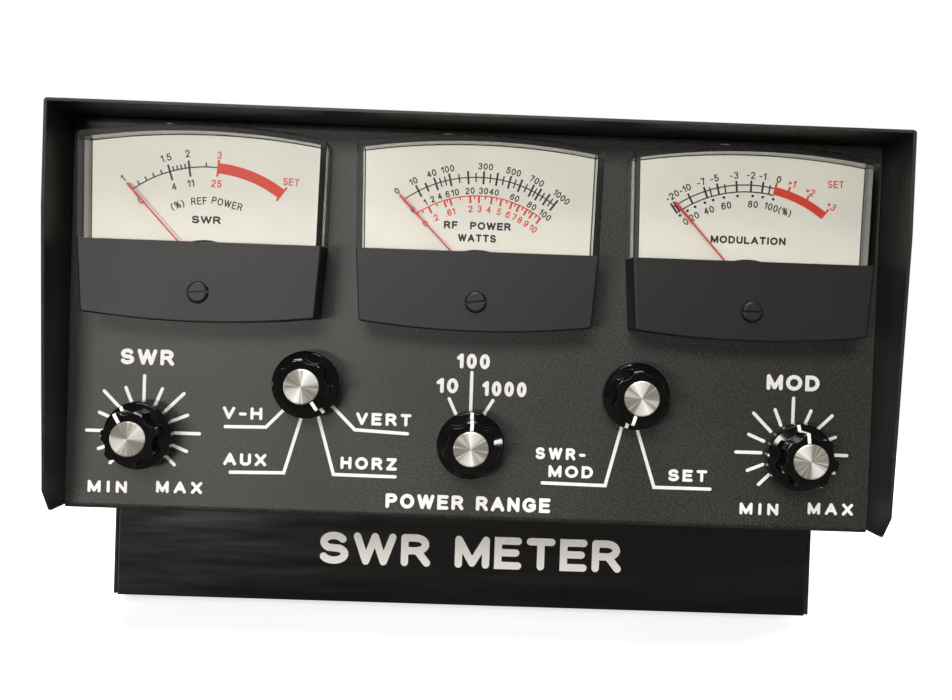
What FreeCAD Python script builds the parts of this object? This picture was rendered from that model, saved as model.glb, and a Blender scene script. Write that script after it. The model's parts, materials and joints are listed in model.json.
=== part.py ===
import FreeCAD, Part
import math
import os

# Bench SWR, power and modulation meter, in millimetres. +Z is up and the panel faces -Y.
# The origin is the centre of the footprint box, on the table plane under the rubber feet.
# The case is a bent chassis (panel, shelf, chin, base, rear) inside a U-shaped cover whose
# top and sides run forward of the panel as a hood. Three panel meters sit above five controls.

V = FreeCAD.Vector

# ---- case ----
CASE_WIDTH = 216.0
SHEET = 0.8
FOOT_HEIGHT = 2.2
FOOT_RADIUS = 6.35
CHIN_HEIGHT = 35.6
CHIN_SETBACK = 54.0
CASE_TOP = 104.5            # top of the cover above the panel's lower edge
CASE_DEPTH = 180.0          # panel face to rear panel face
HOOD_TOP = 22.0             # how far the hood stands forward of the panel, upper part
HOOD_LOW = 16.0             # the same near the lower corner
HOOD_KNEE = 78.0            # height where the hood starts to taper
HOOD_CORNER = 6.6           # height of the chamfered lower corner
HOOD_TIP = 10.2              # forward reach of the chamfer's lower end
SIDE_LOW = 0.8              # lower edge of the sides under the hood
SIDE_GAP = 0.1              # between the chassis edges and the cover
BEND = 1.5                  # outer bend radius of the chassis
COVER_BEND = 0.9
FLANGE = 11.0               # width of the chassis flanges
LABEL_THICK = 0.5
LABEL_MARGIN = 0.5

# ---- rear sockets ----
SOCKET_REACH = 13.5
SOCKET_FLANGE = 25.4
SOCKET_FLANGE_THICK = 1.8
SOCKET_RADIUS = 7.9
SOCKET_BORE = 6.2
SOCKET_SCREW_PITCH = 18.2
SOCKET_SPACING = 50.0
SOCKET_HEIGHT = 18.0        # above the panel's lower edge
SOCKET_TAIL = 9.0
SOCKET_SEAT = 7.0           # how deep the mouth is above the insulator
JACK_HEIGHT = 62.0
JACK_X = -75.0

# ---- frame of the front panel ----
PANEL_Z = FOOT_HEIGHT + CHIN_HEIGHT
PANEL_Y = (HOOD_TOP - CASE_DEPTH - SOCKET_REACH) / 2
REAR_Y = PANEL_Y + CASE_DEPTH
BASE_V = -CHIN_HEIGHT
CHASSIS_TOP = CASE_TOP - SHEET - 0.05
CHASSIS_HALF = CASE_WIDTH / 2 - SHEET - SIDE_GAP

# ---- meters ----
METER_SPACING = 70.4
METER_FRONT = 15.0
METER_WALL = 1.6
METER_TOP_HALF = 31.4
METER_MID_HALF = 30.9
METER_LOW_HALF = 29.6
METER_TOP_V = 97.7
METER_PEAK_V = 100.4
METER_SPLIT_V = 70.8        # joint between the clear window and the black mask
METER_LOW_V = 52.3
METER_DIP_V = 50.4
METER_CORNER = 0.9
METER_EDGE = 0.5
FLANGE_INSET = METER_WALL + 0.1
BARREL_V = 73.5
BARREL_RADIUS = 20.5
BARREL_BACK = -22.0
BARREL_WALL = 1.5
STUD_RADIUS = 1.5
STUD_BACK = -8.0
STUD_U = 25.3
STUD_HEIGHTS = (57.4, 91.5)
PIVOT_V = 64.0
SCREW_V = 58.0
DIAL_W = 6.5
DIAL_THICK = 0.5
DIAL_INSET = METER_WALL + 0.15
DIAL_LOW_V = 55.0
DIAL_CUTOUT = 13.7
DIAL_POST_U = 21.5
DIAL_POST_V = 57.6
NEEDLE_W = 9.0
NEEDLE_LENGTH = 29.4
NEEDLE_HALF = 0.2
NEEDLE_TIP_HALF = 0.3
NEEDLE_TIP_LONG = 6.8
NEEDLE_REST = {"swr": -43.0, "power": -44.3, "modulation": -42.3}   # clockwise from straight up
YOKE_OUTER = 9.3
YOKE_INNER = 7.6
CORE_RADIUS = 5.4
YOKE_BACK = -15.0
YOKE_FRONT = -3.0
COIL_OUTER = 7.2
COIL_INNER = 5.9
PIVOT_RADIUS = 0.5
JEWEL_RADIUS = 0.55
ZERO_RADIUS = 2.7
ZERO_HOLE = 2.78
ZERO_TURN = {"swr": -5.6, "power": -7.5, "modulation": 0.0}
METERS = {"swr": -METER_SPACING, "power": 0.0, "modulation": METER_SPACING}

# ---- controls: place on the panel, pointer angle clockwise from up, and kind ----
CONTROLS = {
    "swr_level": (-86.6, 20.4, -30.5, "pot"),
    "antenna": (-43.4, 35.1, 145.0, "switch"),
    "range": (0.0, 20.7, 1.0, "switch"),
    "function": (42.9, 35.0, 197.0, "switch"),
    "mod_level": (86.6, 20.4, -7.0, "pot"),
}
SHAFT_RADIUS = 3.0
SHAFT_BORE = 3.05
SHAFT_TIP = 14.0
BUSH_RADIUS = 4.75
BUSH_FRONT = 4.2
BUSH_HOLE = 4.85
NUT_THICK = 2.4
NUT_FLATS = 12.7
KNOB_BASE = 4.8
SKIRT_RADIUS = 8.95
SKIRT_TOP = 7.6
BODY_START = 8.5
KNOB_TOP = 16.5
LOBE_RADIUS = 7.25
FLUTE_RADIUS = 3.25
FLUTE_BOTTOM = 6.0
FLUTES = 7
CAP_RADIUS = 4.45
CAP_RECESS = 0.5
CAP_TOP = 16.9
POT_RADIUS = 12.0
POT_BACK = -11.0
SWITCH_RADIUS = 13.0
SWITCH_BACK = -8.0
WAFER_RADIUS = 14.0
WAFER_BACKS = {"antenna": (-21.5, -29.5), "range": (-21.5,), "function": (-21.5,)}
WAFER_THICK = 1.5

# ---- inside ----
BOARD_SIZE = (120.0, 70.0, 1.6)
BOARD_CENTRE = (10.0, 118.0)    # x, and distance behind the panel face
BOSS_HEIGHT = 6.0
COUPLER_SIZE = (44.0, 46.0, 40.0)


def on_panel(shape, u=0.0, v=0.0):
    """Turns a shape drawn in panel axes (x right, y up, z out of the panel) onto the front panel."""
    placed = shape.copy()
    target = FreeCAD.Placement(V(u, PANEL_Y, PANEL_Z + v), FreeCAD.Rotation(V(1, 0, 0), 90))
    placed.Placement = target.multiply(shape.Placement)
    return placed


def on_rear(shape, x, v):
    """Turns a shape drawn with z out of the rear panel onto the rear panel."""
    placed = shape.copy()
    target = FreeCAD.Placement(V(x, REAR_Y, PANEL_Z + v), FreeCAD.Rotation(V(1, 0, 0), -90))
    placed.Placement = target.multiply(shape.Placement)
    return placed


def on_side(shape, side, behind, v):
    """Turns a shape drawn with z outwards onto the cover's left (-1) or right (+1) side."""
    placed = shape.copy()
    target = FreeCAD.Placement(V(side * CASE_WIDTH / 2, PANEL_Y + behind, PANEL_Z + v),
                               FreeCAD.Rotation(V(0, 1, 0), side * 90))
    placed.Placement = target.multiply(shape.Placement)
    return placed


def turned(shape, degrees):
    """The shape turned clockwise, as seen from the front, about the panel axes' z."""
    result = shape.copy()
    result.rotate(V(0, 0, 0), V(0, 0, 1), -degrees)
    return result


def rod(radius, low, high, x=0.0, y=0.0):
    return Part.makeCylinder(radius, high - low, V(x, y, low))


def block(x0, x1, y0, y1, z0, z1):
    return Part.makeBox(x1 - x0, y1 - y0, z1 - z0, V(x0, y0, z0))


def hexagon(flats, low, high, x=0.0, y=0.0):
    corner = flats / math.sqrt(3)
    points = []
    for i in range(7):
        angle = math.radians(60 * i)
        points.append(V(x + corner * math.cos(angle), y + corner * math.sin(angle), low))
    return Part.Face(Part.makePolygon(points)).extrude(V(0, 0, high - low))


def revolved(profile):
    """Solid of revolution about z from (radius, height) points."""
    points = [V(r, 0, h) for r, h in profile]
    points.append(points[0])
    return Part.Face(Part.makePolygon(points)).revolve(V(0, 0, 0), V(0, 0, 1), 360)


def rounded_polygon(points, radius):
    """Closed wire through the points, each corner rounded by an arc."""
    count = len(points)
    edges = []
    starts = []
    ends = []
    mids = []
    for i in range(count):
        corner = points[i]
        before = (points[i - 1] - corner).normalize()
        after = (points[(i + 1) % count] - corner).normalize()
        half = before.getAngle(after) / 2
        reach = radius / math.tan(half)
        middle = (before + after).normalize() * (radius / math.sin(half) - radius)
        starts.append(corner + before * reach)
        ends.append(corner + after * reach)
        mids.append(corner + middle)
    for i in range(count):
        edges.append(Part.Arc(starts[i], mids[i], ends[i]).toShape())
        edges.append(Part.makeLine(ends[i], starts[(i + 1) % count]))
    return Part.Wire(edges)


def pan_screw(head_radius, head_height, shank_radius, length):
    """Cross-recess pan-head screw. The head sits on z = 0 and the shank goes down."""
    head = rod(head_radius, 0.0, head_height)
    rim = [e for e in head.Edges if abs(e.BoundBox.ZMin - head_height) < 1e-6 and len(e.Vertexes) == 1]
    head = head.makeFillet(head_height * 0.55, rim)
    arm = head_radius * 0.55
    slot = head_radius * 0.14
    depth = head_height * 0.45
    recess = block(-arm, arm, -slot, slot, depth, head_height + 1)
    recess = recess.fuse(block(-slot, slot, -arm, arm, depth, head_height + 1))
    return head.cut(recess).fuse(rod(shank_radius, -length, 0.0)).removeSplitter()


# ---- case ----
def side_holes():
    """Places of the cover screws on either side: distance behind the panel, and height."""
    low = BASE_V + 6.0
    return [(7.0, 88.0), (72.0, low), (166.0, low), (173.0, 88.0)]


def board_bosses():
    x, behind = BOARD_CENTRE
    reach_x = BOARD_SIZE[0] / 2 - 5
    reach_y = BOARD_SIZE[1] / 2 - 5
    return [(x + i * reach_x, behind + j * reach_y) for i in (-1, 1) for j in (-1, 1)]


def socket_places():
    return [(SOCKET_SPACING * (i - 1.5), SOCKET_HEIGHT) for i in range(4)]


def chassis():
    corners = [(0, 0), (CHIN_SETBACK, 0), (CHIN_SETBACK, BASE_V), (CASE_DEPTH, BASE_V),
               (CASE_DEPTH, CHASSIS_TOP), (0, CHASSIS_TOP)]
    points = [V(-CHASSIS_HALF, PANEL_Y + behind, PANEL_Z + v) for behind, v in corners]
    outline = rounded_polygon(points, BEND)
    inner = outline.makeOffset2D(-SHEET)
    strip = Part.Face(outline).cut(Part.Face(inner))
    body = strip.extrude(V(2 * CHASSIS_HALF, 0, 0))
    top = block(-CASE_WIDTH, CASE_WIDTH, PANEL_Y + FLANGE, REAR_Y - FLANGE,
                PANEL_Z + CHASSIS_TOP - 5, PANEL_Z + CHASSIS_TOP + 5)
    body = body.cut(top)
    inside = CHASSIS_HALF - SHEET
    for side in (-1, 1):
        x0, x1 = sorted((side * inside, side * CHASSIS_HALF))
        base = PANEL_Z + BASE_V + SHEET / 2
        body = body.fuse(block(x0, x1, PANEL_Y + SHEET / 2, PANEL_Y + FLANGE, PANEL_Z + 4, PANEL_Z + 96))
        body = body.fuse(block(x0, x1, REAR_Y - FLANGE, REAR_Y - SHEET / 2, PANEL_Z - 20, PANEL_Z + 96))
        body = body.fuse(block(x0, x1, PANEL_Y + CHIN_SETBACK + 6, REAR_Y - FLANGE - 4, base, base + FLANGE))
    base = PANEL_Z + BASE_V + SHEET / 2
    for x, behind in board_bosses():
        body = body.fuse(rod(3.0, base, base + SHEET / 2 + BOSS_HEIGHT, x, PANEL_Y + behind))
        body = body.fuse(rod(1.2, base, base + SHEET / 2 + BOSS_HEIGHT + 2.4, x, PANEL_Y + behind))
    cuts = []
    for u in METERS.values():
        cuts.append(on_panel(rod(BARREL_RADIUS + 0.3, -2, 2), u, BARREL_V))
        for stud_v in STUD_HEIGHTS:
            for side in (-1, 1):
                cuts.append(on_panel(rod(STUD_RADIUS + 0.2, -2, 2), u + side * STUD_U, stud_v))
    for u, v, angle, kind in CONTROLS.values():
        cuts.append(on_panel(rod(BUSH_HOLE, -2, 2), u, v))
    for behind, v in side_holes():
        for side in (-1, 1):
            cuts.append(on_side(rod(1.65, -5, 1), side, behind, v))
    for x, v in socket_places():
        cuts.append(on_rear(rod(SOCKET_RADIUS - 0.4, -2, 2), x, v))
        for i, j in ((-1, -1), (-1, 1), (1, -1), (1, 1)):
            half = SOCKET_SCREW_PITCH / 2
            cuts.append(on_rear(rod(1.55, -2, 2, i * half, j * half), x, v))
    cuts.append(on_rear(rod(4.1, -2, 2), JACK_X, JACK_HEIGHT))
    return body.cut(Part.makeCompound(cuts)).removeSplitter()


def wrap_cover():
    low = PANEL_Z + BASE_V
    top = PANEL_Z + CASE_TOP
    half = CASE_WIDTH / 2
    front = PANEL_Y - HOOD_TOP
    outer = block(-half, half, front, REAR_Y + 0.6, low - 10, top)
    edges = [e for e in outer.Edges
             if abs(e.BoundBox.ZMin - top) < 1e-6 and e.BoundBox.YLength > CASE_DEPTH]
    outer = outer.makeFillet(COVER_BEND, edges)
    inner = block(-half + SHEET, half - SHEET, front - 1, REAR_Y + 2, low - 12, top - SHEET)
    edges = [e for e in inner.Edges
             if abs(e.BoundBox.ZMin - top + SHEET) < 1e-6 and e.BoundBox.YLength > CASE_DEPTH]
    inner = inner.makeFillet(COVER_BEND - SHEET, edges)
    shell = outer.cut(inner)
    side = [(-HOOD_TOP, CASE_TOP), (-HOOD_TOP, HOOD_KNEE), (-HOOD_LOW, HOOD_CORNER),
            (-HOOD_TIP, SIDE_LOW), (CHIN_SETBACK - LABEL_THICK, SIDE_LOW),
            (CHIN_SETBACK - LABEL_THICK, BASE_V + SHEET), (CASE_DEPTH + 0.6, BASE_V + SHEET),
            (CASE_DEPTH + 0.6, CASE_TOP)]
    points = [V(-half, PANEL_Y + behind, PANEL_Z + v) for behind, v in side]
    points.append(points[0])
    silhouette = Part.Face(Part.makePolygon(points)).extrude(V(CASE_WIDTH, 0, 0))
    shell = shell.common(silhouette)
    for behind, v in side_holes():
        for hand in (-1, 1):
            shell = shell.cut(on_side(rod(1.8, -3, 3), hand, behind, v))
    return shell.removeSplitter()


def cover_screws():
    screw = pan_screw(3.3, 1.9, 1.6, 5.5)
    return [on_side(screw, hand, behind, v) for behind, v in side_holes() for hand in (-1, 1)]


def front_label():
    half = CHASSIS_HALF - LABEL_MARGIN
    plate = block(-half, half, BASE_V + LABEL_MARGIN, -LABEL_MARGIN - BEND, 0.0, LABEL_THICK)
    corners = [e for e in plate.Edges if e.BoundBox.ZLength > LABEL_THICK / 2]
    plate = plate.makeFillet(1.0, corners)
    plate.translate(V(0, 0, -CHIN_SETBACK))
    return on_panel(plate)


def rubber_feet():
    foot = revolved([(0, 0), (FOOT_RADIUS - 0.5, 0), (FOOT_RADIUS, 0.5),
                     (FOOT_RADIUS, FOOT_HEIGHT), (0, FOOT_HEIGHT)])
    feet = []
    for side in (-1, 1):
        for behind in (CHIN_SETBACK + 17.5, CASE_DEPTH - 14.0):
            copy = foot.copy()
            copy.translate(V(side * 92.0, PANEL_Y + behind, 0))
            feet.append(copy)
    return feet


# ---- meters, drawn in panel axes with x measured from the meter's centre ----
def meter_outline():
    """Front outline: straight drafted sides, with a shallow arc above and below."""
    def arc(x, v, peak):
        return Part.Arc(V(-x, v, 0), V(0, peak, 0), V(x, v, 0)).toShape()

    right = [V(METER_LOW_HALF, METER_LOW_V, 0), V(METER_MID_HALF, METER_SPLIT_V, 0),
             V(METER_TOP_HALF, METER_TOP_V, 0)]
    left = [V(-p.x, p.y, 0) for p in right]
    edges = [arc(METER_LOW_HALF, METER_LOW_V, METER_DIP_V)]
    edges += [Part.makeLine(right[0], right[1]), Part.makeLine(right[1], right[2])]
    edges += [arc(METER_TOP_HALF, METER_TOP_V, METER_PEAK_V)]
    edges += [Part.makeLine(left[2], left[1]), Part.makeLine(left[1], left[0])]
    return Part.Wire(Part.__sortEdges__(edges))


def meter_prism(inset, low, high):
    wire = meter_outline()
    if inset:
        wire = wire.makeOffset2D(-inset, 2)
    prism = Part.Face(wire).extrude(V(0, 0, high - low))
    prism.translate(V(0, 0, low))
    return prism


def meter_shell():
    """The whole front moulding, before it is split into window and mask."""
    outer = meter_prism(0, 0, METER_FRONT)
    corners = [e for e in outer.Edges
               if e.BoundBox.ZLength > 5 and abs(e.BoundBox.YMin - METER_SPLIT_V) > 1]
    outer = outer.makeFillet(METER_CORNER, corners)
    rim = [e for e in outer.Edges if e.BoundBox.ZMin > METER_FRONT - 0.01]
    outer = outer.makeFillet(METER_EDGE, rim)
    return outer.cut(meter_prism(METER_WALL, -1, METER_FRONT - METER_WALL))


def meter_window(shell):
    """Clear upper moulding, with a tongue that tucks behind the mask and a moulding gate on top."""
    upper = shell.common(block(-40, 40, METER_SPLIT_V, 120, -5, 20))
    face = METER_FRONT - METER_WALL
    tongue = block(-25, 25, METER_SPLIT_V - 2.5, METER_SPLIT_V, face, face + 0.8)
    gate = rod(1.2, 0, 0.5)
    gate.rotate(V(0, 0, 0), V(1, 0, 0), -90)
    gate.translate(V(-8.3, METER_PEAK_V - 0.5, METER_FRONT - 1.4))
    return upper.fuse(tongue).fuse(gate).removeSplitter()


def meter_mask(shell):
    lower = shell.common(block(-40, 40, 40, METER_SPLIT_V, -5, 20))
    face = METER_FRONT - METER_WALL
    lower = lower.cut(block(-25.1, 25.1, METER_SPLIT_V - 2.6, METER_SPLIT_V + 1, face - 0.1, face + 0.85))
    return lower.cut(rod(ZERO_HOLE, 10, 20, 0, SCREW_V)).removeSplitter()


def meter_case():
    flange = meter_prism(FLANGE_INSET, 0, 2.0)
    body = flange.fuse(rod(BARREL_RADIUS, BARREL_BACK, 0, 0, BARREL_V))
    body = body.cut(rod(BARREL_RADIUS - BARREL_WALL, BARREL_BACK + BARREL_WALL, 5, 0, BARREL_V))
    for side in (-1, 1):
        for stud_v in STUD_HEIGHTS:
            body = body.fuse(rod(STUD_RADIUS, STUD_BACK, 0.5, side * STUD_U, stud_v))
        body = body.fuse(rod(2.0, 1.5, DIAL_W, side * DIAL_POST_U, DIAL_POST_V))
        body = body.cut(rod(1.0, 0.5, DIAL_W + 1, side * DIAL_POST_U, DIAL_POST_V))
        body = body.fuse(rod(1.6, BARREL_BACK - 7, BARREL_BACK + 1, side * 9, PIVOT_V))
    return body.cut(rod(3.0, BARREL_BACK - 1, -15, 0, BARREL_V + 14)).removeSplitter()


def meter_dial():
    plate = meter_prism(DIAL_INSET, DIAL_W, DIAL_W + DIAL_THICK)
    plate = plate.common(block(-40, 40, DIAL_LOW_V, 120, 0, 20))
    plate = plate.cut(rod(DIAL_CUTOUT, 0, 10, 0, SCREW_V))
    for side in (-1, 1):
        plate = plate.cut(rod(1.1, 0, 10, side * DIAL_POST_U, DIAL_POST_V))
    return plate


def meter_movement():
    """Pole ring with its core on two webs, a rear bridge on posts, and a front bridge arm."""
    body = rod(YOKE_OUTER, YOKE_BACK, YOKE_FRONT).cut(rod(YOKE_INNER, YOKE_BACK, YOKE_FRONT))
    body = body.fuse(rod(CORE_RADIUS, YOKE_BACK + 1.5, YOKE_FRONT - 1.5))
    web = block(-1.6, 1.6, -YOKE_INNER - 0.5, YOKE_INNER + 0.5, YOKE_BACK + 3, YOKE_FRONT - 3)
    body = body.fuse(web)
    back = YOKE_BACK - 3.0
    body = body.fuse(block(-2, 2, -YOKE_INNER - 1.2, YOKE_INNER + 1.2, back, back + 1.6))
    for end in (-1, 1):
        y0, y1 = sorted((end * (YOKE_INNER + 0.2), end * (YOKE_INNER + 1.2)))
        body = body.fuse(block(-2, 2, y0, y1, back, YOKE_BACK + 0.5))
        body = body.fuse(block(-2, 2, y0, y1, BARREL_BACK + BARREL_WALL, back + 0.5))
    low = -YOKE_INNER - 1.4
    body = body.fuse(block(-2.4, 2.4, low, low + 1.2, YOKE_FRONT - 1, 11.2))
    body = body.fuse(block(-2.4, 2.4, low, 0, 10.2, 11.2)).fuse(rod(2.4, 10.2, 11.2))
    body = body.cut(rod(JEWEL_RADIUS, back - 1, YOKE_BACK - 1.2))
    body = body.cut(rod(JEWEL_RADIUS, 10, 12))
    body.translate(V(0, PIVOT_V, 0))
    return body.removeSplitter()


def moving_coil(rest):
    """Rectangular coil frame that turns round the core."""
    back = YOKE_BACK - 0.6
    front = YOKE_FRONT + 0.6
    bar = COIL_OUTER - COIL_INNER
    frame = block(-COIL_OUTER, COIL_OUTER, -1.2, 1.2, back, front)
    frame = frame.cut(block(-COIL_INNER, COIL_INNER, -2, 2, back + bar - 0.2, front - bar + 0.2))
    long_edges = [e for e in frame.Edges if e.BoundBox.YLength > 2 and abs(e.BoundBox.XMin) > COIL_INNER + 0.5]
    frame = frame.makeFillet(0.6, long_edges)
    frame = turned(frame, rest)
    frame.translate(V(0, PIVOT_V, 0))
    return frame


def meter_needle(rest):
    """Pointer on its staff: thin arm with a broader tip, and a short tail with a balance weight."""
    front = YOKE_FRONT + 0.6
    back = YOKE_BACK - 0.6
    body = rod(PIVOT_RADIUS, front, 10.9).fuse(rod(PIVOT_RADIUS, back - 1.9, back))
    body = body.fuse(rod(1.6, NEEDLE_W - 0.5, NEEDLE_W + 0.5))
    neck = NEEDLE_LENGTH - NEEDLE_TIP_LONG
    right = [(NEEDLE_HALF, -4.6), (NEEDLE_HALF, neck - 0.6), (NEEDLE_TIP_HALF, neck),
             (NEEDLE_TIP_HALF, NEEDLE_LENGTH)]
    outline = [V(x, y, 0) for x, y in right] + [V(-x, y, 0) for x, y in reversed(right)]
    outline.append(outline[0])
    arm = Part.Face(Part.makePolygon(outline)).extrude(V(0, 0, 0.3))
    arm.translate(V(0, 0, NEEDLE_W - 0.15))
    weight = block(-0.8, 0.8, -4.9, -3.1, NEEDLE_W - 0.4, NEEDLE_W + 0.4)
    body = turned(body.fuse(arm).fuse(weight).removeSplitter(), rest)
    body.translate(V(0, PIVOT_V, 0))
    return body


def zero_screw(turn):
    """Slotted adjuster in the mask, with a retaining collar and an eccentric peg behind."""
    face = METER_FRONT - METER_WALL
    head = rod(ZERO_RADIUS, face - 1, METER_FRONT + 0.9)
    rim = [e for e in head.Edges if e.BoundBox.ZMin > METER_FRONT + 0.8 and len(e.Vertexes) == 1]
    head = head.makeFillet(0.7, rim)
    head = head.cut(block(-5, 5, -0.3, 0.3, METER_FRONT - 0.2, METER_FRONT + 2))
    body = head.fuse(rod(3.5, face - 1, face - 0.1)).fuse(rod(0.6, face - 1.8, face - 0.5, 0, 1.3))
    body = turned(body.removeSplitter(), turn)
    body.translate(V(0, SCREW_V, 0))
    return body


def dial_screws():
    screw = pan_screw(1.9, 1.2, 0.95, 4.0)
    screw.translate(V(0, 0, DIAL_W + DIAL_THICK))
    return [on_panel(screw, u + side * DIAL_POST_U, DIAL_POST_V)
            for u in METERS.values() for side in (-1, 1)]


def meter_nuts():
    nut = hexagon(5.5, -SHEET - 2.4, -SHEET).cut(rod(STUD_RADIUS + 0.03, -9, 0))
    return [on_panel(nut, u + side * STUD_U, v)
            for u in METERS.values() for side in (-1, 1) for v in STUD_HEIGHTS]


def dial_lamps():
    """Wedge-base lamps pushed in through the backs of the meter cases, behind the dials."""
    lamp = rod(2.9, BARREL_BACK - 2, -12).fuse(rod(4.0, BARREL_BACK - 3, BARREL_BACK))
    glass = rod(2.3, -13, -6).fuse(Part.makeSphere(2.3, V(0, 0, -6)))
    lamp = lamp.fuse(glass).removeSplitter()
    return [on_panel(lamp, u, BARREL_V + 14) for u in METERS.values()]


# ---- controls, drawn in panel axes with the pointer up ----
def knob_body():
    skirt = revolved([(0, KNOB_BASE), (SKIRT_RADIUS - 0.3, KNOB_BASE), (SKIRT_RADIUS, KNOB_BASE + 0.3),
                      (SKIRT_RADIUS - 0.15, SKIRT_TOP - 0.35), (SKIRT_RADIUS - 0.5, SKIRT_TOP),
                      (LOBE_RADIUS - 1.6, BODY_START + 0.2), (0, BODY_START + 0.2)])
    fluted = rod(LOBE_RADIUS, SKIRT_TOP - 0.6, KNOB_TOP)
    rim = [e for e in fluted.Edges if e.BoundBox.ZMin > KNOB_TOP - 0.01 and len(e.Vertexes) == 1]
    fluted = fluted.makeFillet(0.7, rim)
    centre = FLUTE_BOTTOM + FLUTE_RADIUS
    for i in range(FLUTES):
        angle = math.radians(90 + (i + 0.5) * 360 / FLUTES)
        x = centre * math.cos(angle)
        y = centre * math.sin(angle)
        fluted = fluted.cut(rod(FLUTE_RADIUS, 0, 30, x, y))
    body = skirt.fuse(fluted)
    body = body.cut(rod(CAP_RADIUS + 0.05, KNOB_TOP - CAP_RECESS, KNOB_TOP + 1))
    return body.cut(rod(SHAFT_RADIUS, 0, SHAFT_TIP)).removeSplitter()


def knob_cap():
    return revolved([(0, KNOB_TOP - CAP_RECESS), (CAP_RADIUS, KNOB_TOP - CAP_RECESS),
                     (CAP_RADIUS, CAP_TOP - 0.15), (CAP_RADIUS - 0.25, CAP_TOP), (0, CAP_TOP)])


def shaft_back(name):
    if name in WAFER_BACKS:
        return min(WAFER_BACKS[name]) - 1.5
    return POT_BACK + 1.5


def bush():
    return rod(BUSH_RADIUS, -SHEET - 0.5, BUSH_FRONT)


def pot():
    body = rod(POT_RADIUS, POT_BACK, -SHEET).fuse(bush())
    for i in (-1, 0, 1):
        body = body.fuse(block(i * 5 - 1, i * 5 + 1, -POT_RADIUS - 6, -POT_RADIUS + 3, -5.0, -4.2))
    return body.cut(rod(SHAFT_BORE, POT_BACK + 1.4, 10)).removeSplitter()


def rotary_switch(name):
    body = rod(SWITCH_RADIUS, SWITCH_BACK, -SHEET).fuse(bush())
    last = min(WAFER_BACKS[name])
    for side in (-1, 1):
        body = body.fuse(rod(1.6, last, SWITCH_BACK + 1, side * 10.5, 0))
    for back in WAFER_BACKS[name]:
        body = body.fuse(rod(WAFER_RADIUS, back, back + WAFER_THICK))
        for i in range(12):
            lug = block(-0.8, 0.8, WAFER_RADIUS - 2, WAFER_RADIUS + 3.5, back + 0.4, back + 1.0)
            body = body.fuse(turned(lug, 15 + 30 * i))
    return body.cut(rod(SHAFT_BORE, -40, 10)).removeSplitter()


def control_nuts():
    nut = hexagon(NUT_FLATS, 0, NUT_THICK).cut(rod(BUSH_RADIUS + 0.04, -1, 5))
    return [on_panel(nut, u, v) for u, v, angle, kind in CONTROLS.values()]


# ---- rear and inside, drawn with z out of the rear panel ----
def rf_socket():
    half = SOCKET_FLANGE / 2
    flange = block(-half, half, -half, half, 0, SOCKET_FLANGE_THICK)
    flange = flange.makeFillet(2.5, [e for e in flange.Edges if e.BoundBox.ZLength > 1])
    body = flange.fuse(rod(SOCKET_RADIUS, 0, SOCKET_REACH))
    body = body.fuse(rod(SOCKET_RADIUS - 0.5, -SOCKET_TAIL, 1))
    body = body.cut(rod(SOCKET_BORE, -SOCKET_TAIL - 1, SOCKET_REACH + 1))
    for i, j in ((-1, -1), (-1, 1), (1, -1), (1, 1)):
        pitch = SOCKET_SCREW_PITCH / 2
        body = body.cut(rod(1.6, -1, 5, i * pitch, j * pitch))
    for i in range(4):
        notch = block(-0.9, 0.9, SOCKET_BORE - 1, SOCKET_RADIUS + 1, SOCKET_REACH - 1.2, SOCKET_REACH + 1)
        body = body.cut(turned(notch, 45 + 90 * i))
    return body.removeSplitter()


def socket_insulator():
    disc = rod(SOCKET_BORE, -SOCKET_TAIL, SOCKET_REACH - SOCKET_SEAT).fuse(
        rod(4.0, 0, SOCKET_REACH - SOCKET_SEAT + 1.5))
    return disc.cut(rod(2.5, -20, 20))


def socket_contact():
    tube = rod(2.5, -SOCKET_TAIL - 5, SOCKET_REACH - SOCKET_SEAT + 3.0)
    tube = tube.cut(rod(2.0, -SOCKET_TAIL + 4, SOCKET_REACH))
    return tube.cut(block(-1.2, 1.2, 0.4, 3, -SOCKET_TAIL - 6, -SOCKET_TAIL - 1))


def on_every_socket(shape):
    return [on_rear(shape, x, v) for x, v in socket_places()]


def socket_screws():
    screw = pan_screw(2.75, 1.7, 1.5, 5.5)
    screw.translate(V(0, 0, SOCKET_FLANGE_THICK))
    half = SOCKET_SCREW_PITCH / 2
    screws = []
    for i, j in ((-1, -1), (-1, 1), (1, -1), (1, 1)):
        moved = screw.copy()
        moved.translate(V(i * half, j * half, 0))
        screws += on_every_socket(moved)
    return screws


def power_jack():
    body = rod(5.6, 0, 1.6).fuse(rod(4.0, -10, 1)).fuse(rod(5.5, -3.2, -SHEET))
    body = body.cut(rod(2.8, -8, 3)).fuse(rod(1.05, -9, 0.4))
    return on_rear(body.removeSplitter(), JACK_X, JACK_HEIGHT)


def coupler_box():
    """Folded screening box on the rear panel, round the transmitter socket's tail."""
    width, depth, height = COUPLER_SIZE
    x, v = socket_places()[0]
    outer = block(-width / 2, width / 2, -height / 2, height / 2, -SHEET - depth, -SHEET)
    inner = block(-width / 2 + SHEET, width / 2 - SHEET, -height / 2 + SHEET, height / 2 - SHEET,
                  -depth, 0)
    box = outer.cut(inner).cut(rod(4.0, -depth - 5, -depth + 5))
    return on_rear(box, x, v)


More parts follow.
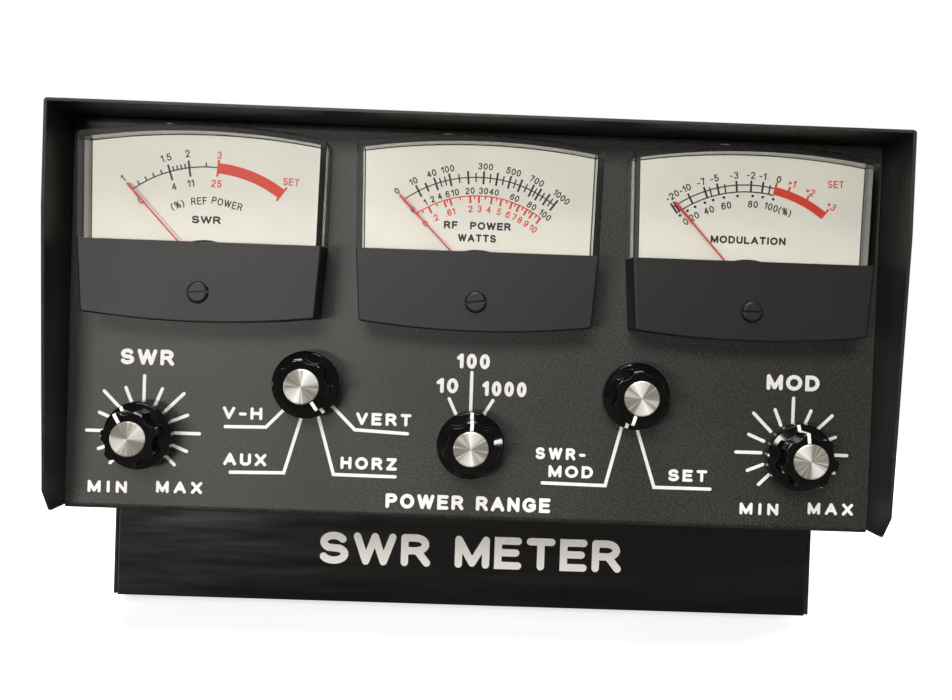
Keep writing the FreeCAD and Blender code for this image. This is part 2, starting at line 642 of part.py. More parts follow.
def circuit_board():
    length, width, thick = BOARD_SIZE
    x, behind = BOARD_CENTRE
    z = PANEL_Z + BASE_V + SHEET + BOSS_HEIGHT
    y = PANEL_Y + behind
    body = block(x - length / 2, x + length / 2, y - width / 2, y + width / 2, z, z + thick)
    top = z + thick
    for i in range(4):
        body = body.fuse(rod(3.2, top - 0.5, top + 9, x - 40 + 12 * i, y + 18))
        body = body.fuse(block(x - 44 + 20 * i, x - 34 + 20 * i, y - 20, y - 12, top - 0.5, top + 4))
    body = body.fuse(block(x + 20, x + 46, y - 2, y + 12, top - 0.5, top + 7))
    for bx, by in board_bosses():
        body = body.cut(rod(1.25, z - 1, top + 5, bx, PANEL_Y + by))
    return body.removeSplitter()


def write(name, shape):
    if isinstance(shape, list):
        shape = Part.makeCompound(shape)
    shape.exportStep("parts/" + name + ".step")


def write_case():
    write("chassis", chassis())
    write("wrap_cover", wrap_cover())
    write("cover_screws", cover_screws())
    write("front_label", front_label())
    write("rubber_feet", rubber_feet())


def write_meters():
    shell = meter_shell()
    shapes = {"meter_case": meter_case(), "meter_window": meter_window(shell),
              "meter_mask": meter_mask(shell), "dial": meter_dial(), "movement": meter_movement()}
    for name, u in METERS.items():
        for piece, shape in shapes.items():
            write(name + "_" + piece, on_panel(shape, u))
        write(name + "_moving_coil", on_panel(moving_coil(NEEDLE_REST[name]), u))
        write(name + "_needle", on_panel(meter_needle(NEEDLE_REST[name]), u))
        write(name + "_zero_screw", on_panel(zero_screw(ZERO_TURN[name]), u))
    write("dial_screws", dial_screws())
    write("meter_nuts", meter_nuts())
    write("dial_lamps", dial_lamps())


def write_controls():
    knob = knob_body()
    cap = knob_cap()
    for name, (u, v, angle, kind) in CONTROLS.items():
        write(name + "_knob", on_panel(turned(knob, angle), u, v))
        write(name + "_knob_cap", on_panel(cap, u, v))
        write(name + "_shaft", on_panel(rod(SHAFT_RADIUS, shaft_back(name), SHAFT_TIP), u, v))
        holder = pot() if kind == "pot" else rotary_switch(name)
        write(name + "_" + kind, on_panel(holder, u, v))
    write("control_nuts", control_nuts())


def write_rear():
    write("rf_sockets", on_every_socket(rf_socket()))
    write("socket_insulators", on_every_socket(socket_insulator()))
    write("socket_contacts", on_every_socket(socket_contact()))
    write("socket_screws", socket_screws())
    write("power_jack", power_jack())
    write("coupler_box", coupler_box())
    write("circuit_board", circuit_board())


os.makedirs("parts", exist_ok=True)
write_case()
write_meters()
write_controls()
write_rear()
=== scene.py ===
import json
import math

import bmesh
import bpy
from mathutils import Matrix, Vector


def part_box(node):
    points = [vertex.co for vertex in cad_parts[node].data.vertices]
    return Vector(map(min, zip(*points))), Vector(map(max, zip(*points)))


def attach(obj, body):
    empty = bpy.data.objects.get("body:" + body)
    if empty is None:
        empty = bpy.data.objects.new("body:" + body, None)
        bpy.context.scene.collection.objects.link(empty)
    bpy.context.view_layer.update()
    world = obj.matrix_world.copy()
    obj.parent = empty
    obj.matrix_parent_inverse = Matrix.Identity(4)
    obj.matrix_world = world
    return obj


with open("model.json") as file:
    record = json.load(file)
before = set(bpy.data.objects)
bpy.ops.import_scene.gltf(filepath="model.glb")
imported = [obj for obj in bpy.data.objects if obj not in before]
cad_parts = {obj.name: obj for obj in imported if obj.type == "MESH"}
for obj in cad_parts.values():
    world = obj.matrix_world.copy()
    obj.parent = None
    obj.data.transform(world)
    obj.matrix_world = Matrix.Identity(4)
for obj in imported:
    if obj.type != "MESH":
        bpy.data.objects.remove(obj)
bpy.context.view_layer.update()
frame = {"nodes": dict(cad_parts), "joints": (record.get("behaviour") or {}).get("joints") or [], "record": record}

# Looks of a bench SWR, power and modulation meter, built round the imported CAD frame.
# Places on the front panel are (u, v, w): u to the right and v up from the middle of the panel's
# lower edge, and w out of the panel, in millimetres. Angles are clockwise from straight up.

MM = 0.001
LABEL_GAP = 2.0             # from the top of the chin's overlay up to the panel's lower edge
PANEL_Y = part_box("chassis")[0].y
PANEL_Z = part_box("front_label")[1].z + LABEL_GAP * MM
JOINTS = {joint["name"]: joint for joint in frame["joints"]}
METERS = ("swr", "power", "modulation")
POINTERS = {"swr_level": -30.5, "antenna": 145.0, "range": 1.0, "function": 197.0, "mod_level": -7.0}

INK = 0.04                  # thickness of dial print
SILK = 0.07                 # thickness of the panel's silk-screen
SUNK = 0.01                 # how deep print starts below its surface
CAP_RADIUS = 4.45           # of the aluminium disc in a knob


def at(u, v, w):
    """The place of a panel point in the frame, in metres."""
    return Vector((u * MM, PANEL_Y - w * MM, PANEL_Z + v * MM))


def hub(joint):
    """(u, v) of a joint's axis on the panel."""
    x, _, z = JOINTS[joint]["pos_m"]
    return x / MM, (z - PANEL_Z) / MM


def polar(centre, radius, angle):
    """(u, v) at a radius and a clockwise angle from straight up."""
    turn = math.radians(angle)
    return centre[0] + radius * math.sin(turn), centre[1] + radius * math.cos(turn)


# ---------------------------------------------------------------- material nodes

def rgb(red, green, blue):
    """Linear colour from 0-255 display values."""
    linear = []
    for value in (red, green, blue):
        share = value / 255
        linear.append(share / 12.92 if share <= 0.04045 else ((share + 0.055) / 1.055) ** 2.4)
    return (*linear, 1.0)


class Finish:
    """A node material. Its textures are in object space, so 1 / scale is a size in metres."""

    def __init__(self, name):
        self.material = bpy.data.materials.new(name)
        self.material.use_nodes = True
        self.tree = self.material.node_tree
        self.shader = self.tree.nodes["Principled BSDF"]
        self.output = self.tree.nodes["Material Output"]
        self.place = self.add("ShaderNodeTexCoord").outputs["Object"]

    def add(self, kind, inputs=None, **settings):
        made = self.tree.nodes.new(kind)
        for key, value in settings.items():
            setattr(made, key, value)
        for key, value in (inputs or {}).items():
            self.feed(made.inputs[key], value)
        return made

    def feed(self, socket, value):
        if isinstance(value, bpy.types.NodeSocket):
            self.tree.links.new(value, socket)
        else:
            socket.default_value = value

    def maths(self, operation, *values):
        return self.add("ShaderNodeMath", dict(enumerate(values)), operation=operation).outputs[0]

    def vector_maths(self, operation, *values):
        return self.add("ShaderNodeVectorMath", dict(enumerate(values)), operation=operation).outputs

    def set(self, **inputs):
        """Principled inputs, with _ for a space."""
        for key, value in inputs.items():
            self.feed(self.shader.inputs[key.replace("_", " ")], value)

    def noise(self, size, detail=3.0, stretch=(1, 1, 1), soft=0.5):
        """Noise whose blotches are about size millimetres across."""
        place = self.add("ShaderNodeMapping", {"Vector": self.place, "Scale": stretch}).outputs[0]
        return self.add("ShaderNodeTexNoise", {
            "Vector": place, "Scale": 1 / (size * MM), "Detail": detail, "Roughness": soft,
        }).outputs[0]

    def ramp(self, factor, *stops):
        """Colours at positions along a 0-1 factor."""
        made = self.add("ShaderNodeValToRGB", {"Fac": factor})
        edges = made.color_ramp.elements
        while len(edges) < len(stops):
            edges.new(0.5)
        for edge, (position, colour) in zip(edges, stops):
            edge.position = position
            edge.color = colour
        return made.outputs["Color"]

    def scaled(self, factor, low, high, start=0.3, end=0.7):
        """A number from low to high as the factor goes from start to end."""
        return self.add("ShaderNodeMapRange", {
            "Value": factor, "From Min": start, "From Max": end, "To Min": low, "To Max": high,
        }).outputs[0]

    def mix(self, factor, first, second, how="MIX"):
        return self.add("ShaderNodeMixRGB", {
            "Fac": factor, "Color1": first, "Color2": second,
        }, blend_type=how).outputs[0]

    def bump(self, height, depth, strength=1.0, rounding=0.0):
        """Relief of depth millimetres, over edges rounded by that many millimetres."""
        inputs = {"Height": height, "Distance": depth * MM, "Strength": strength}
        if rounding:
            inputs["Normal"] = self.rounded(rounding)
        self.set(Normal=self.add("ShaderNodeBump", inputs).outputs[0])

    def rounded(self, radius):
        """The normal of the surface if its edges were rounded."""
        return self.add("ShaderNodeBevel", {"Radius": radius * MM}, samples=4).outputs[0]

    def edges(self, radius):
        """0 on flat faces and 1 on edges sharper than the radius."""
        flat = self.add("ShaderNodeNewGeometry").outputs["Normal"]
        likeness = self.vector_maths("DOT_PRODUCT", self.rounded(radius), flat)["Value"]
        return self.scaled(likeness, 1.0, 0.0, 0.75, 0.98)


# ---------------------------------------------------------------- materials

def painted_steel():
    """Fine-textured black powder coat, thinner and greyer along bent and cut edges."""
    finish = Finish("painted_steel")
    cloud = finish.noise(28.0, 5.0)
    grain = finish.noise(0.55, 5.0, soft=0.7)
    base = finish.ramp(cloud, (0.3, rgb(18, 18, 17)), (0.7, rgb(24, 24, 22)))
    speck = finish.ramp(grain, (0.4, rgb(0, 0, 0)), (0.66, rgb(150, 147, 140)))
    base = finish.mix(0.14, base, speck, "ADD")
    worn = finish.scaled(finish.noise(5.0, 6.0), 0.0, 0.5, 0.45, 0.7)
    base = finish.mix(finish.maths("MULTIPLY", finish.edges(0.35), worn), base, rgb(92, 91, 90))
    finish.set(Base_Color=base, Roughness=finish.scaled(grain, 0.4, 0.56), Specular_IOR_Level=0.42)
    finish.bump(grain, 0.05, 0.6, 0.25)
    return finish.material


def gloss_overlay():
    """Printed gloss film over the chin, with a faint orange-peel and a few rub marks."""
    finish = Finish("gloss_overlay")
    peel = finish.noise(2.4, 2.0)
    rub = finish.noise(9.0, 8.0, stretch=(0.25, 1, 2.5))
    finish.set(Base_Color=finish.ramp(rub, (0.35, rgb(17, 16, 15)), (0.75, rgb(25, 24, 22))))
    finish.set(Roughness=finish.scaled(rub, 0.1, 0.2), Coat_Weight=0.3, Coat_Roughness=0.06)
    finish.bump(peel, 0.012, 0.5, 0.1)
    return finish.material


def clear_acrylic():
    """Clear moulded cover. Light from lamps passes through it without casting its shadow."""
    finish = Finish("clear_acrylic")
    haze = finish.noise(12.0, 4.0)
    finish.set(Base_Color=finish.ramp(haze, (0.3, rgb(247, 249, 249)), (0.7, rgb(252, 252, 251))))
    finish.set(Roughness=finish.scaled(haze, 0.0, 0.015), IOR=1.49, Transmission_Weight=1.0)
    lamp = finish.add("ShaderNodeLightPath").outputs["Is Shadow Ray"]
    passed = finish.add("ShaderNodeBsdfTransparent", {"Color": rgb(247, 248, 248)}).outputs[0]
    both = finish.add("ShaderNodeMixShader", {0: lamp, 1: finish.shader.outputs[0], 2: passed})
    finish.tree.links.new(both.outputs[0], finish.output.inputs["Surface"])
    return finish.material


def black_moulding():
    """Satin black moulded plastic with a fine spark-eroded grain, and a highlight painted along its edges."""
    finish = Finish("black_moulding")
    cloud = finish.noise(20.0, 4.0)
    grain = finish.noise(0.3, 3.0)
    base = finish.ramp(cloud, (0.3, rgb(20, 20, 19)), (0.7, rgb(25, 24, 23)))
    # Painted highlight: edges lightened toward grey.
    base = finish.mix(finish.scaled(finish.edges(0.3), 0.0, 0.25), base, rgb(80, 80, 79))
    finish.set(Base_Color=base, Roughness=finish.scaled(grain, 0.42, 0.54), Specular_IOR_Level=0.3)
    finish.bump(grain, 0.02, 0.6, 0.2)
    return finish.material


def dial_white():
    """Warm white painted dial plate, flecked with faint darker specks."""
    finish = Finish("dial_white")
    cloud = finish.noise(30.0, 3.0)
    speck = finish.noise(0.5, 4.0)
    base = finish.ramp(cloud, (0.3, rgb(242, 237, 226)), (0.7, rgb(246, 241, 230)))
    base = finish.mix(finish.scaled(speck, 0.0, 0.04), base, rgb(218, 214, 204))
    finish.set(Base_Color=base, Roughness=finish.scaled(speck, 0.42, 0.55))
    finish.bump(speck, 0.006, 0.4)
    return finish.material


def ink(name, dark, light, dark_end=0.3):
    """Screen ink, slightly uneven in tone and sheen."""
    finish = Finish(name)
    body = finish.noise(0.6, 4.0)
    finish.set(Base_Color=finish.ramp(body, (dark_end, dark), (0.7, light)))
    finish.set(Roughness=finish.scaled(body, 0.42, 0.6))
    finish.bump(body, 0.01, 0.5)
    return finish.material


def knob_black():
    """Polished black phenolic with faint swirl marks, softened edges and a highlight painted along them."""
    finish = Finish("knob_black")
    swirl = finish.noise(6.0, 6.0, stretch=(1, 0.4, 1))
    base = finish.ramp(swirl, (0.3, rgb(9, 9, 9)), (0.7, rgb(15, 14, 14)))
    # Painted highlight: every edge is lightened toward grey, standing in for the lamps' glint on it.
    base = finish.mix(finish.scaled(finish.edges(0.2), 0.0, 0.4), base, rgb(105, 102, 97))
    finish.set(Base_Color=base, Roughness=finish.scaled(swirl, 0.06, 0.13), Specular_IOR_Level=0.6)
    finish.bump(finish.noise(1.2, 2.0), 0.003, 0.3, 0.15)
    return finish.material


def spun_aluminium():
    """Turned aluminium. A highlight painted into its colour fans out across its rings in wedges, matched on
    opposite sides, over real anisotropic gloss.
    """
    finish = Finish("spun_aluminium")
    unit = finish.add("ShaderNodeTexCoord").outputs["Generated"]
    centred = finish.vector_maths("SUBTRACT", unit, (0.5, 0.5, 0.5))[0]
    flat = finish.vector_maths("MULTIPLY", centred, (1, 0, 1))[0]
    radius = finish.vector_maths("LENGTH", flat)["Value"]
    across = finish.add("ShaderNodeSeparateXYZ", {0: flat}).outputs
    turn = finish.maths("ARCTAN2", across["X"], across["Z"])
    # The painted highlight wedges lean with the cap's place on the panel, as the light's reflection would, from
    # the left-hand knob to the right-hand one.
    reach = 85 * MM
    left_lean, right_lean = math.radians(-66), math.radians(32)
    here = finish.add("ShaderNodeSeparateXYZ", {0: finish.place}).outputs["X"]
    middle = finish.maths("MULTIPLY_ADD", across["X"], -2 * CAP_RADIUS * MM, here)
    lean = finish.scaled(middle, 2 * left_lean, 2 * right_lean, -reach, reach)
    double = finish.maths("MULTIPLY_ADD", turn, 2.0, lean)
    highlight_wedge = finish.maths("COSINE", double)
    other = finish.maths("SINE", double)
    fan = finish.add("ShaderNodeCombineXYZ", {
        "X": highlight_wedge, "Y": other, "Z": finish.scaled(middle, 0.0, 9.0, -reach, reach),
    }).outputs[0]
    thin = finish.add("ShaderNodeTexNoise", {
        "Vector": fan, "Scale": 2.0, "Detail": 3.0, "Roughness": 0.5,
    }).outputs[0]
    # Painted highlight: bright wedges and thin streaks in the base colour stand in for the lamps' reflection on
    # the rings.
    sheen = finish.maths("ADD", finish.scaled(highlight_wedge, 0.0, 0.8, 0.1, 0.9),
                         finish.scaled(thin, 0.0, 0.5, 0.45, 0.66))
    base = finish.ramp(sheen, (0.1, rgb(158, 152, 141)), (0.4, rgb(212, 207, 196)),
                       (0.7, rgb(255, 254, 250)))
    rings = finish.add("ShaderNodeTexNoise", {"W": radius, "Scale": 140.0, "Detail": 3.0},
                       noise_dimensions="1D").outputs[0]
    base = finish.mix(finish.scaled(rings, 0.0, 0.25), base, rgb(150, 145, 135))
    tangent = finish.add("ShaderNodeTangent", direction_type="RADIAL", axis="Y").outputs[0]
    finish.set(Base_Color=base, Metallic=0.3, Roughness=finish.scaled(rings, 0.3, 0.42))
    finish.set(Anisotropic=0.8, Anisotropic_Rotation=0.25, Tangent=tangent)
    finish.bump(rings, 0.006, 0.5)
    return finish.material


def metal(name, dark, light, rough):
    """Bare or plated metal, uneven in tone and sheen from handling."""
    finish = Finish(name)
    marks = finish.noise(1.4, 6.0)
    finish.set(Base_Color=finish.ramp(marks, (0.3, dark), (0.7, light)), Metallic=1.0)
    finish.set(Roughness=finish.scaled(marks, *rough))
    finish.bump(marks, 0.01, 0.35, 0.12)
    return finish.material


def board_green():
    """Solder mask over copper: darker tracks on green laminate."""
    finish = Finish("board_green")
    tracks = finish.add("ShaderNodeTexBrick", {
        "Vector": finish.place, "Scale": 90.0, "Mortar Size": 0.06,
        "Color1": rgb(28, 84, 46), "Color2": rgb(34, 96, 52), "Mortar": rgb(52, 122, 62),
    }).outputs["Color"]
    finish.set(Base_Color=tracks, Roughness=finish.scaled(finish.noise(8.0), 0.25, 0.4))
    finish.bump(finish.noise(1.0), 0.01, 0.4)
    return finish.material


def lamp_glass():
    """Frosted lamp envelope with a faint warm glow."""
    finish = Finish("lamp_glass")
    frost = finish.noise(1.0)
    finish.set(Base_Color=finish.ramp(frost, (0.3, rgb(240, 226, 196)), (0.7, rgb(250, 240, 214))))
    finish.set(Roughness=finish.scaled(frost, 0.3, 0.45), Subsurface_Weight=0.2)
    finish.bump(frost, 0.01, 0.3)
    return finish.material


def coil_copper():
    """Enamelled copper wire, wound in fine turns."""
    finish = Finish("coil_copper")
    turns = finish.add("ShaderNodeTexWave", {
        "Vector": finish.place, "Scale": 700.0, "Distortion": 0.6,
    }, bands_direction="Z").outputs[0]
    finish.set(Base_Color=finish.ramp(turns, (0.2, rgb(122, 58, 26)), (0.8, rgb(196, 112, 60))))
    finish.set(Metallic=0.85, Roughness=finish.scaled(turns, 0.28, 0.42, 0.0, 1.0))
    finish.bump(turns, 0.05, 0.6)
    return finish.material


def plain(name, dark, light, rough, size=6.0, grain=0.5, depth=0.01):
    """Moulded stuff: two-tone colour and roughness in soft blotches, over a fine grain."""
    finish = Finish(name)
    blotch = finish.noise(size, 4.0)
    finish.set(Base_Color=finish.ramp(blotch, (0.3, dark), (0.7, light)))
    finish.set(Roughness=finish.scaled(blotch, *rough))
    finish.bump(finish.noise(grain), depth, 0.6, 0.15)
    return finish.material


def needle_red():
    """Thin aluminium pointer painted signal red."""
    finish = Finish("needle_red")
    coat = finish.noise(0.8, 4.0)
    finish.set(Base_Color=finish.ramp(coat, (0.3, rgb(206, 40, 26)), (0.7, rgb(228, 58, 40))))
    finish.set(Roughness=finish.scaled(coat, 0.35, 0.5))
    finish.bump(coat, 0.005, 0.4)
    return finish.material


MATERIALS = {
    "painted_steel": painted_steel(),
    "gloss_overlay": gloss_overlay(),
    "clear_acrylic": clear_acrylic(),
    "black_moulding": black_moulding(),
    "dial_white": dial_white(),
    "needle_red": needle_red(),
    "knob_black": knob_black(),
    "spun_aluminium": spun_aluminium(),
    "board_green": board_green(),
    "lamp_glass": lamp_glass(),
    "coil_copper": coil_copper(),
    "rubber": plain("rubber", rgb(18, 18, 18), rgb(27, 27, 26), (0.75, 0.9), 3.0, 0.35, 0.04),
    "black_screws": metal("black_screws", rgb(30, 30, 31), rgb(46, 46, 47), (0.32, 0.5)),
    "movement_steel": metal("movement_steel", rgb(120, 120, 122), rgb(158, 158, 158), (0.3, 0.5)),
    "screw_steel": metal("screw_steel", rgb(176, 176, 174), rgb(206, 205, 202), (0.22, 0.36)),
    "shaft_steel": metal("shaft_steel", rgb(150, 149, 146), rgb(186, 184, 180), (0.25, 0.4)),
    "pot_steel": metal("pot_steel", rgb(140, 138, 130), rgb(176, 172, 160), (0.35, 0.5)),
    "nickel": metal("nickel", rgb(178, 174, 166), rgb(208, 204, 196), (0.2, 0.34)),
    "contact_brass": metal("contact_brass", rgb(170, 134, 66), rgb(208, 172, 98), (0.25, 0.4)),
    "screen_steel": metal("screen_steel", rgb(158, 158, 156), rgb(190, 190, 188), (0.3, 0.48)),
    "switch_phenolic": plain("switch_phenolic", rgb(96, 58, 30), rgb(122, 76, 40), (0.45, 0.6)),
    "insulator_white": plain("insulator_white", rgb(222, 220, 212), rgb(236, 234, 228), (0.4, 0.5)),
    "jack_black": plain("jack_black", rgb(16, 16, 17), rgb(24, 24, 25), (0.3, 0.45)),
}
INK_BLACK = ink("ink_black", rgb(26, 24, 23), rgb(38, 36, 34))
INK_RED = ink("ink_red", rgb(226, 46, 22), rgb(238, 62, 36))
SILK_WHITE = ink("silk_white", rgb(246, 245, 241), rgb(254, 253, 250), 0.35)

# A node's finish is the record's slot that its material is named for.
for node in frame["nodes"].values():
    for place in node.material_slots:
        name = place.material.name.split(".")[0] if place.material else ""
        if name in MATERIALS:
            place.material = MATERIALS[name]


# ---------------------------------------------------------------- lettering

def bow(x, y, across, tall, start, end):
    """Points on an oval about (x, y), between clockwise angles from its top."""
    degrees_a_step = 16
    steps = max(3, round(abs(end - start) / degrees_a_step))
    points = []
    for k in range(steps + 1):
        turn = math.radians(start + (end - start) * k / steps)
        points.append((x + across * math.sin(turn), y + tall * math.cos(turn)))
    return points


STEM = [(0, 0), (0, 1)]
BOWL = [(0, 1), (0.3, 1)] + bow(0.3, 0.74, 0.26, 0.26, 15, 165) + [(0.3, 0.48), (0, 0.48)]
SIX = [bow(0.29, 0.31, 0.27, 0.31, 0, 360), bow(0.33, 0.5, 0.31, 0.5, 48, -100)]
NINE = [[(0.58 - x, 1 - y) for x, y in stroke] for stroke in SIX]

# Each character's width and the middle lines of its strokes, in capital heights.
LETTERS = {
    " ": (0.2, []),
    ".": (0.0, [[(0, 0), (0, 0.02)]]),
    "-": (0.32, [[(0, 0.42), (0.32, 0.42)]]),
    "+": (0.42, [[(0, 0.42), (0.42, 0.42)], [(0.21, 0.21), (0.21, 0.63)]]),
    "(": (0.2, [bow(0.42, 0.42, 0.42, 0.68, -35, -145)]),
    ")": (0.2, [bow(-0.22, 0.42, 0.42, 0.68, 35, 145)]),
    "%": (0.86, [bow(0.16, 0.76, 0.16, 0.24, 0, 360), bow(0.7, 0.24, 0.16, 0.24, 0, 360),
                 [(0.64, 1), (0.22, 0)]]),
    "0": (0.56, [bow(0.28, 0.5, 0.28, 0.5, 0, 360)]),
    "1": (0.27, [[(0, 0.76), (0.27, 1), (0.27, 0)]]),
    "2": (0.55, [bow(0.27, 0.71, 0.27, 0.29, -80, 115) + [(0, 0), (0.55, 0)]]),
    "3": (0.54, [bow(0.26, 0.75, 0.24, 0.25, -70, 170) + bow(0.26, 0.27, 0.28, 0.27, 10, 250)]),
    "4": (0.58, [[(0.42, 0), (0.42, 1)], [(0.42, 1), (0, 0.3), (0.58, 0.3)]]),
    "5": (0.54, [[(0.5, 1), (0.1, 1), (0.04, 0.5)] + bow(0.26, 0.32, 0.28, 0.32, -50, 250)]),
    "6": (0.56, SIX),
    "7": (0.54, [[(0, 1), (0.54, 1), (0.18, 0)]]),
    "8": (0.56, [bow(0.28, 0.755, 0.23, 0.245, 0, 360), bow(0.28, 0.26, 0.28, 0.26, 0, 360)]),
    "9": (0.56, NINE),
    "A": (0.7, [[(0, 0), (0.35, 1), (0.7, 0)], [(0.12, 0.33), (0.58, 0.33)]]),
    "C": (0.7, [bow(0.36, 0.5, 0.36, 0.5, 50, -230)]),
    "D": (0.62, [[(0, 0), (0, 1), (0.26, 1)] + bow(0.26, 0.5, 0.36, 0.5, 15, 165) + [(0.26, 0), (0, 0)]]),
    "E": (0.54, [[(0.54, 1), (0, 1), (0, 0), (0.54, 0)], [(0, 0.52), (0.48, 0.52)]]),
    "F": (0.5, [[(0.5, 1), (0, 1), (0, 0)], [(0, 0.5), (0.44, 0.5)]]),
    "G": (0.72, [bow(0.37, 0.5, 0.37, 0.5, 50, -225) + [(0.7, 0.22), (0.7, 0.45), (0.42, 0.45)]]),
    "H": (0.6, [[(0, 0), (0, 1)], [(0.6, 0), (0.6, 1)], [(0, 0.52), (0.6, 0.52)]]),
    "I": (0.0, [[(0, 0), (0, 1)]]),
    "L": (0.5, [[(0, 1), (0, 0), (0.5, 0)]]),
    "M": (0.74, [[(0, 0), (0, 1), (0.37, 0.06), (0.74, 1), (0.74, 0)]]),
    "N": (0.6, [[(0, 0), (0, 1), (0.6, 0), (0.6, 1)]]),
    "O": (0.74, [bow(0.37, 0.5, 0.37, 0.5, 0, 360)]),
    "P": (0.56, [STEM, BOWL]),
    "R": (0.6, [STEM, BOWL, [(0.34, 0.48), (0.6, 0)]]),
    "S": (0.6, [bow(0.3, 0.74, 0.27, 0.26, 62, -150) + bow(0.3, 0.26, 0.3, 0.26, 30, 245)]),
    "T": (0.58, [[(0, 1), (0.58, 1)], [(0.29, 1), (0.29, 0)]]),
    "U": (0.58, [[(0, 1), (0, 0.29)] + bow(0.29, 0.29, 0.29, 0.29, -105, -255) + [(0.58, 0.29), (0.58, 1)]]),
    "V": (0.64, [[(0, 1), (0.32, 0), (0.64, 1)]]),
    "W": (0.96, [[(0, 1), (0.24, 0), (0.48, 1), (0.72, 0), (0.96, 1)]]),
    "X": (0.62, [[(0, 1), (0.62, 0)], [(0, 0), (0.62, 1)]]),
    "Z": (0.58, [[(0, 1), (0.56, 1), (0, 0), (0.58, 0)]]),
}


def pieces_of(points):
    """Splits a stroke where it turns back so sharply that a mitre would spike."""
    sharpest = math.radians(100)
    parts = [[Vector(points[0])]]
    for before, here, after in zip(points, points[1:], points[2:]):
        parts[-1].append(Vector(here))
        if (Vector(here) - Vector(before)).angle(Vector(after) - Vector(here)) > sharpest:
            parts.append([Vector(here)])
    parts[-1].append(Vector(points[-1]))
    return parts


# ---------------------------------------------------------------- print

FRONT = Matrix(((1, 0, 0, 0), (0, 0, -1, PANEL_Y / MM), (0, 1, 0, PANEL_Z / MM), (0, 0, 0, 1)))
REAR = Matrix(((-1, 0, 0, 0), (0, 0, 1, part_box("chassis")[1].y / MM), (0, 1, 0, PANEL_Z / MM), (0, 0, 0, 1)))
GAP = 0.15                  # between characters, in capital heights
LAYER = 0.002               # each mark stands this much above the last, so that none share a plane,
LAYERS = 12                 # and the count starts again after so many
ROUND_END = (0.98, 0.8, 0.4)    # where a round end is cut, in half-widths beyond the stroke's end


class Print:
    """Ink on one flat face, gathered as thin closed solids into one piece."""

    def __init__(self, name, material, thickness, surface=0.0, plane=FRONT):
        self.name = name
        self.material = material
        self.back = surface - SUNK
        self.front = surface + thickness
        self.plane = plane
        self.marks = 0
        self.mesh = bmesh.new()

    def put(self, x, y, depth):
        return self.mesh.verts.new((self.plane @ Vector((x, y, depth))) * MM)

    def bar(self, rows, closed=False):
        """A solid through cross-sections of four (x, y, depth) corners."""
        rows = [[self.put(*corner) for corner in row] for row in rows]
        ends = rows[1:] + rows[:1] if closed else rows[1:]
        for first, second in zip(rows, ends):
            for k in range(4):
                self.mesh.faces.new((first[k], second[k], second[(k + 1) % 4], first[(k + 1) % 4]))
        if not closed:
            self.mesh.faces.new(rows[0])
            self.mesh.faces.new(rows[-1][::-1])

    def ribbon(self, pairs, closed=False):
        """A flat bar through pairs of left and right points."""
        self.marks += 1
        top = self.front + LAYER * (self.marks % LAYERS)
        self.bar([((*left, top), (*right, top), (*right, self.back), (*left, self.back))
                  for left, right in pairs], closed)

    def line(self, points, width, round_ends=True):
        """A stroke along points, mitred where it turns, and joined up if it ends where it began."""
        half = width / 2
        points = [Vector(point) for point in points]
        closed = (points[0] - points[-1]).length < 0.001
        if closed:
            points = [points[-2], *points, points[1]]
        heads = [(b - a).normalized() for a, b in zip(points, points[1:])]
        pairs = []

        def cut(place, along, reach):
            across = Vector((-along.y, along.x)) * reach
            pairs.append((tuple(place + across), tuple(place - across)))

        steps = ROUND_END if round_ends else ()
        if not closed:
            for step in steps:
                cut(points[0] - heads[0] * half * step, heads[0], half * math.sqrt(1 - step * step))
            cut(points[0], heads[0], half)
        for k in range(1, len(heads)):
            along = (heads[k - 1] + heads[k]).normalized()
            cut(points[k], along, half / along.dot(heads[k]))
        if closed:
            self.ribbon(pairs[:-1], closed=True)
            return
        cut(points[-1], heads[-1], half)
        for step in reversed(steps):
            cut(points[-1] + heads[-1] * half * step, heads[-1], half * math.sqrt(1 - step * step))
        self.ribbon(pairs)

    def arc(self, centre, low, high, start, end):
        """A band between two radii, from one angle to another."""
        degrees_a_step = 1.5
        steps = max(4, int(abs(end - start) / degrees_a_step))
        angles = [start + (end - start) * k / steps for k in range(steps + 1)]
        self.ribbon([(polar(centre, high, a), polar(centre, low, a)) for a in angles])

    def tick(self, centre, low, high, angle, width, round_ends=False):
        """A graduation between two radii."""
        self.line([polar(centre, low, angle), polar(centre, high, angle)], width, round_ends=round_ends)

    def dot(self, centre, radius):
        """A round spot: a stroke that is nearly all round ends."""
        reach = radius * 0.05
        self.line([(centre[0] - reach, centre[1]), (centre[0] + reach, centre[1])], 2 * radius)

    def words(self, words, centre, height, stroke, angle=0.0, width=None, gap=GAP):
        """Letters with capitals that high, centred, turned clockwise, stretched to fit a width."""
        size = height - stroke
        gap = gap * height
        fixed = stroke * len(words) + gap * (len(words) - 1)
        bodies = sum(LETTERS[letter][0] for letter in words) * size
        stretch = (width - fixed) / bodies if width else 1.0
        pen = (stroke - fixed - bodies * stretch) / 2
        turn = math.radians(angle)
        for letter in words:
            wide, strokes = LETTERS[letter]
            for points in strokes:
                placed = []
                for x, y in points:
                    across, up = pen + x * size * stretch, (y - 0.5) * size
                    placed.append((centre[0] + across * math.cos(turn) + up * math.sin(turn),
                                   centre[1] - across * math.sin(turn) + up * math.cos(turn)))
                for part in pieces_of(placed):
                    self.line(part, stroke)
            pen += wide * size * stretch + stroke + gap

    def finish(self, body):
        """The piece, riding on its body."""
        bmesh.ops.recalc_face_normals(self.mesh, faces=self.mesh.faces)
        mesh = bpy.data.meshes.new(self.name)
        self.mesh.to_mesh(mesh)
        self.mesh.free()
        mesh.materials.append(self.material)
        piece = bpy.data.objects.new(self.name, mesh)
        bpy.context.scene.collection.objects.link(piece)
        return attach(piece, body)


# ---------------------------------------------------------------- dials

